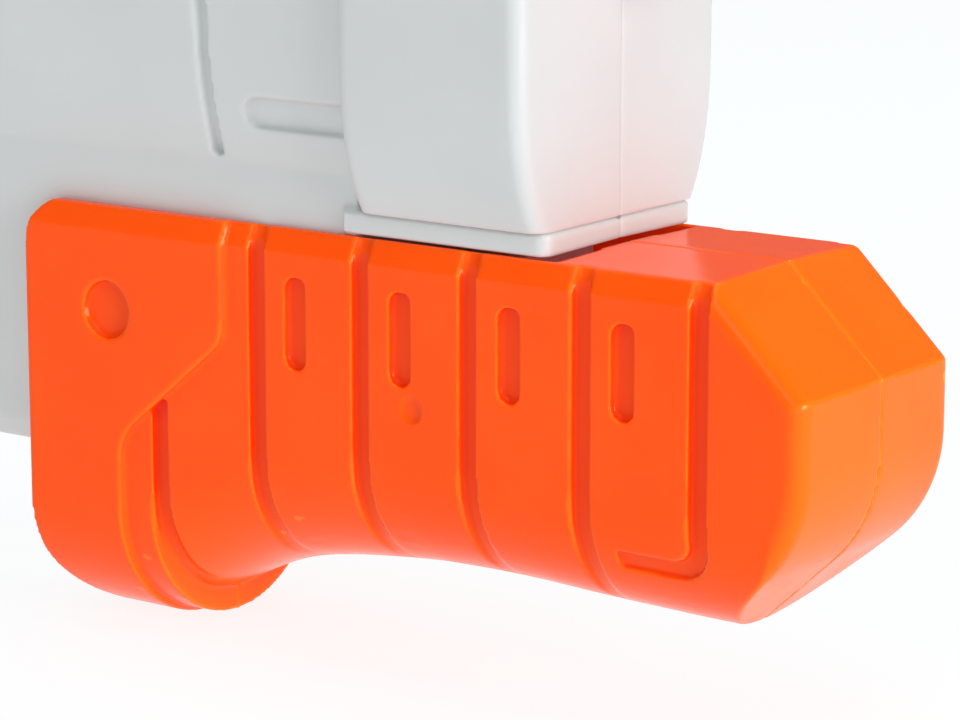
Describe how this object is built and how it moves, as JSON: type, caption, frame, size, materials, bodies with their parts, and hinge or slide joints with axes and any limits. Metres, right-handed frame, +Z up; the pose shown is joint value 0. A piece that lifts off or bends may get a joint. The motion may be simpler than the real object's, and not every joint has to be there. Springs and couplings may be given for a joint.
{
  "type": "toy water blaster",
  "caption": "Pump-action toy water blaster with a ribbed orange fore-grip, white two-shell body, tank on top and sprung trigger.",
  "frame": {"origin": "on the ground under the middle of the length and width", "axes": "+X towards the nozzle, +Y to the blaster's left, +Z up"},
  "size_m": [0.4442, 0.0628, 0.2095],
  "materials": {
    "white_shell": "semi-gloss moulded",
    "orange_shell": "satin moulded",
    "soft_orange": "matte soft plastic",
    "tank_plastic": "frosted translucent",
    "steel": "zinc plated",
    "black_plastic": "moulded",
    "rod_plastic": "moulded",
    "clear_grey": "moulded",
    "seal_rubber": "matte",
    "hose": "soft vinyl"
  },
  "bodies": {
    "body": {"housing_left": "white_shell", "housing_right": "white_shell", "front_shroud_left": "white_shell", "front_shroud_right": "white_shell", "housing_screws": "steel", "shroud_screws": "steel", "pump_cylinder": "clear_grey", "cylinder_cap": "black_plastic", "rod_seal": "seal_rubber", "valve_block": "black_plastic", "inlet_valve": "seal_rubber", "outlet_valve": "seal_rubber", "air_tube": "hose", "feed_tube": "hose", "barrel_tube": "hose", "firing_valve_body": "black_plastic", "valve_spring": "steel", "trigger_pin": "steel", "nozzle": "orange_shell", "nozzle_nut": "white_shell", "water_tank": "tank_plastic", "tank_grommets": "seal_rubber", "butt_pad": "soft_orange"},
    "pump": {"pump_grip_left": "orange_shell", "pump_grip_right": "orange_shell", "grip_screws": "steel", "piston_rod": "rod_plastic", "piston": "black_plastic", "piston_ring": "seal_rubber"},
    "trigger": {"trigger": "orange_shell"},
    "stem": {"valve_stem": "rod_plastic", "stem_seal": "seal_rubber"},
    "cap": {"tank_cap": "orange_shell", "cap_seal": "seal_rubber"}
  },
  "joints": [
    {"name": "pump_slide", "type": "slide", "parent": "body", "child": "pump", "axis": [1, 0, 0], "range_m": [-0.042, 0]},
    {"name": "trigger_pull", "type": "hinge", "parent": "body", "child": "trigger", "pos_m": [-0.054, 0, 0.096], "axis": [0, 1, 0], "range_deg": [0, 14], "stiffness_Nm_per_rad": 0.12, "springref_deg": -28.65},
    {"name": "stem_slide", "type": "slide", "parent": "body", "child": "stem", "axis": [1, 0, 0], "range_m": [0, 0.0041], "deforming": ["valve_spring"]},
    {"name": "cap_turn", "type": "hinge", "parent": "body", "child": "cap", "pos_m": [-0.104, 0, 0.2], "axis": [0, 0, 1], "range_deg": [0, 90]}
  ],
  "couplings": [
    {"joint": "stem_slide", "follows": "trigger_pull", "m_per_rad": 0.0165}
  ]
}
